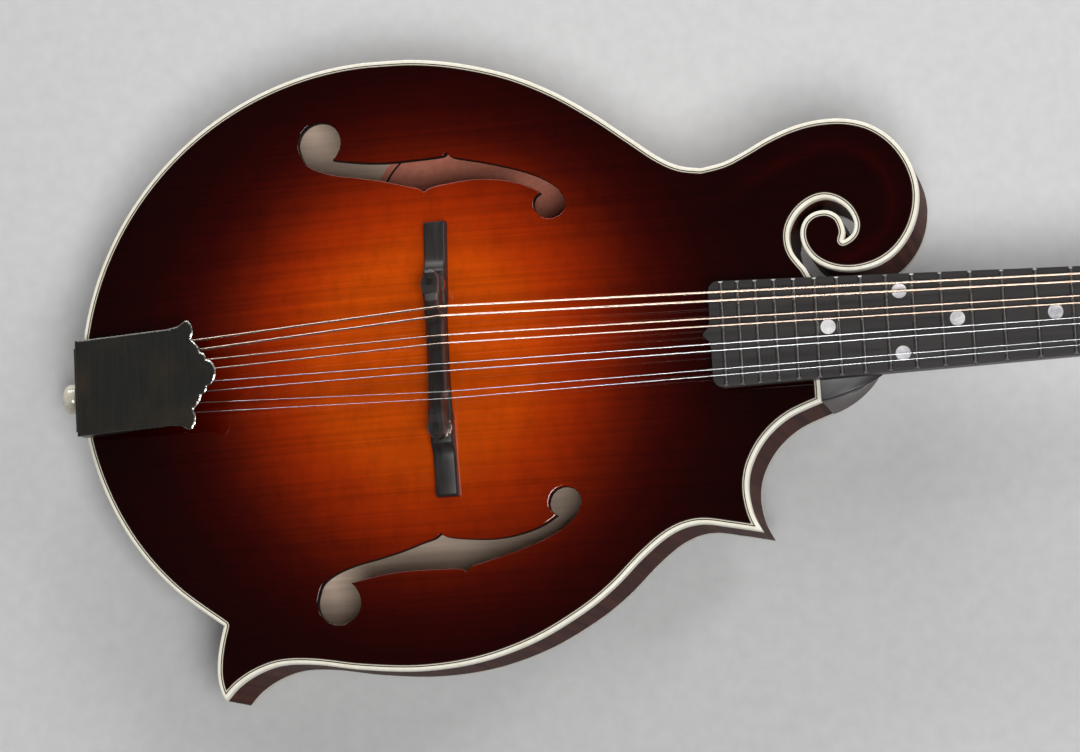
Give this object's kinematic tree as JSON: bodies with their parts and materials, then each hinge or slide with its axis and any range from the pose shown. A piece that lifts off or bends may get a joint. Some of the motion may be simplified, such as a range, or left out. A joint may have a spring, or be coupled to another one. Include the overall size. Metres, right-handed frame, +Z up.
{
  "type": "mandolin",
  "caption": "Scroll-bodied mandolin with a carved top, f-shaped sound holes, paired strings, an adjustable bridge and geared tuners.",
  "frame": {"origin": "the middle of the bounding box on the table, as the instrument lies on its back", "axes": "+X towards the headstock, +Y towards the bass strings and the scroll, +Z up; the middle of the back and the headstock's tip touch the table, so the body's edge is tilted 3.42 degrees up towards the headstock"},
  "size_m": [0.6886, 0.2606, 0.084],
  "materials": {
    "top_wood": "carved spruce, gloss sunburst from orange to near black",
    "body_wood": "figured maple, gloss dark red-brown",
    "inner_wood": "raw spruce and willow, matt",
    "binding": "cream, polished",
    "purfling": "black line with a thin cream line, polished",
    "ebony": "black, satin",
    "dark_metal": "black enamel, polished edges",
    "nickel": "bright plated",
    "steel": "drawn steel",
    "brass": "plain, machined",
    "bronze_wire": "phosphor bronze winding",
    "pearl": "mother of pearl",
    "ivoroid": "cream pearl plastic, polished",
    "bone": "bleached bone, polished",
    "black_plastic": "black, polished",
    "label_paper": "pale red printed paper, plain"
  },
  "bodies": {
    "body": {"top_plate": "top_wood", "back_plate": "body_wood", "head_block": "body_wood", "scroll_block": "body_wood", "rib_bass": "body_wood", "rib_tail": "body_wood", "rib_waist": "body_wood", "rib_heel": "body_wood", "inner_blocks": "inner_wood", "inner_bracing": "inner_wood", "bindings": "binding", "top_purfling": "purfling", "endpin": "ivoroid", "tailpiece_base": "dark_metal", "screws": "nickel", "bridge_base": "ebony", "bridge_studs": "nickel", "neck": "body_wood", "truss_rod": "steel", "truss_rod_cover": "black_plastic", "fingerboard": "ebony", "extension_riser": "body_wood", "frets": "nickel", "pearl_inlays": "pearl", "nut": "bone", "headstock_overlay": "ebony", "tuner_plates": "nickel", "tuner_bushings": "nickel", "label": "label_paper"},
    "cover": {"tailpiece_cover": "dark_metal"},
    "saddle": {"bridge_saddle": "ebony", "wound_strings": "bronze_wire", "plain_strings": "steel"},
    "wheel_bass": {"thumbwheel_bass": "nickel"},
    "wheel_treble": {"thumbwheel_treble": "nickel"},
    "rod_nut": {"truss_rod_nut": "brass"},
    "key_1": {"tuner_button_1": "ivoroid", "tuner_worm_1": "nickel"},
    "post_1": {"tuner_post_1": "nickel"},
    "key_2": {"tuner_button_2": "ivoroid", "tuner_worm_2": "nickel"},
    "post_2": {"tuner_post_2": "nickel"},
    "key_3": {"tuner_button_3": "ivoroid", "tuner_worm_3": "nickel"},
    "post_3": {"tuner_post_3": "nickel"},
    "key_4": {"tuner_button_4": "ivoroid", "tuner_worm_4": "nickel"},
    "post_4": {"tuner_post_4": "nickel"},
    "key_5": {"tuner_button_5": "ivoroid", "tuner_worm_5": "nickel"},
    "post_5": {"tuner_post_5": "nickel"},
    "key_6": {"tuner_button_6": "ivoroid", "tuner_worm_6": "nickel"},
    "post_6": {"tuner_post_6": "nickel"},
    "key_7": {"tuner_button_7": "ivoroid", "tuner_worm_7": "nickel"},
    "post_7": {"tuner_post_7": "nickel"},
    "key_8": {"tuner_button_8": "ivoroid", "tuner_worm_8": "nickel"},
    "post_8": {"tuner_post_8": "nickel"}
  },
  "joints": [
    {"name": "cover_lift", "type": "slide", "parent": "body", "child": "cover", "axis": [-0.0597, 0, 0.9982], "range_m": [0, 0.035]},
    {"name": "saddle_height", "type": "slide", "parent": "body", "child": "saddle", "axis": [-0.0597, 0, 0.9982], "range_m": [-0.001, 0.0025], "deforming": ["wound_strings", "plain_strings"]},
    {"name": "wheel_bass_turn", "type": "hinge", "parent": "saddle", "child": "wheel_bass", "pos_m": [-0.17628, 0.0314, 0.07342], "axis": [-0.0597, 0, 0.9982], "range_deg": [-570, 1420]},
    {"name": "wheel_treble_turn", "type": "hinge", "parent": "saddle", "child": "wheel_treble", "pos_m": [-0.17628, -0.0272, 0.07342], "axis": [-0.0597, 0, 0.9982], "range_deg": [-570, 1420]},
    {"name": "rod_nut_turn", "type": "hinge", "parent": "body", "child": "rod_nut", "pos_m": [0.19335, 0.0021, 0.05599], "axis": [0.9993, 0, -0.0363], "range_deg": [-180, 180]},
    {"name": "key_1_turn", "type": "hinge", "parent": "body", "child": "key_1", "pos_m": [0.2188, 0.0191, 0.03319], "axis": [0, 1, 0], "continuous": true},
    {"name": "post_1_turn", "type": "hinge", "parent": "body", "child": "post_1", "pos_m": [0.21619, 0.0191, 0.0545], "axis": [0.2937, 0, 0.9559], "continuous": true},
    {"name": "key_2_turn", "type": "hinge", "parent": "body", "child": "key_2", "pos_m": [0.24079, 0.0191, 0.02644], "axis": [0, 1, 0], "continuous": true},
    {"name": "post_2_turn", "type": "hinge", "parent": "body", "child": "post_2", "pos_m": [0.23818, 0.0191, 0.04774], "axis": [0.2937, 0, 0.9559], "continuous": true},
    {"name": "key_3_turn", "type": "hinge", "parent": "body", "child": "key_3", "pos_m": [0.26277, 0.0191, 0.01968], "axis": [0, 1, 0], "continuous": true},
    {"name": "post_3_turn", "type": "hinge", "parent": "body", "child": "post_3", "pos_m": [0.26016, 0.0191, 0.04099], "axis": [0.2937, 0, 0.9559], "continuous": true},
    {"name": "key_4_turn", "type": "hinge", "parent": "body", "child": "key_4", "pos_m": [0.28476, 0.0191, 0.01293], "axis": [0, 1, 0], "continuous": true},
    {"name": "post_4_turn", "type": "hinge", "parent": "body", "child": "post_4", "pos_m": [0.28215, 0.0191, 0.03423], "axis": [0.2937, 0, 0.9559], "continuous": true},
    {"name": "key_5_turn", "type": "hinge", "parent": "body", "child": "key_5", "pos_m": [0.2188, -0.0149, 0.03319], "axis": [0, -1, 0], "continuous": true},
    {"name": "post_5_turn", "type": "hinge", "parent": "body", "child": "post_5", "pos_m": [0.21619, -0.0149, 0.0545], "axis": [0.2937, 0, 0.9559], "continuous": true},
    {"name": "key_6_turn", "type": "hinge", "parent": "body", "child": "key_6", "pos_m": [0.24079, -0.0149, 0.02644], "axis": [0, -1, 0], "continuous": true},
    {"name": "post_6_turn", "type": "hinge", "parent": "body", "child": "post_6", "pos_m": [0.23818, -0.0149, 0.04774], "axis": [0.2937, 0, 0.9559], "continuous": true},
    {"name": "key_7_turn", "type": "hinge", "parent": "body", "child": "key_7", "pos_m": [0.26277, -0.0149, 0.01968], "axis": [0, -1, 0], "continuous": true},
    {"name": "post_7_turn", "type": "hinge", "parent": "body", "child": "post_7", "pos_m": [0.26016, -0.0149, 0.04099], "axis": [0.2937, 0, 0.9559], "continuous": true},
    {"name": "key_8_turn", "type": "hinge", "parent": "body", "child": "key_8", "pos_m": [0.28476, -0.0149, 0.01293], "axis": [0, -1, 0], "continuous": true},
    {"name": "post_8_turn", "type": "hinge", "parent": "body", "child": "post_8", "pos_m": [0.28215, -0.0149, 0.03423], "axis": [0.2937, 0, 0.9559], "continuous": true}
  ],
  "couplings": [
    {"joint": "wheel_bass_turn", "follows": "saddle_height", "rad_per_m": 9894.8},
    {"joint": "wheel_treble_turn", "follows": "saddle_height", "rad_per_m": 9894.8},
    {"joint": "post_1_turn", "follows": "key_1_turn", "ratio": -0.066667},
    {"joint": "post_2_turn", "follows": "key_2_turn", "ratio": -0.066667},
    {"joint": "post_3_turn", "follows": "key_3_turn", "ratio": -0.066667},
    {"joint": "post_4_turn", "follows": "key_4_turn", "ratio": -0.066667},
    {"joint": "post_5_turn", "follows": "key_5_turn", "ratio": 0.066667},
    {"joint": "post_6_turn", "follows": "key_6_turn", "ratio": 0.066667},
    {"joint": "post_7_turn", "follows": "key_7_turn", "ratio": 0.066667},
    {"joint": "post_8_turn", "follows": "key_8_turn", "ratio": 0.066667}
  ]
}
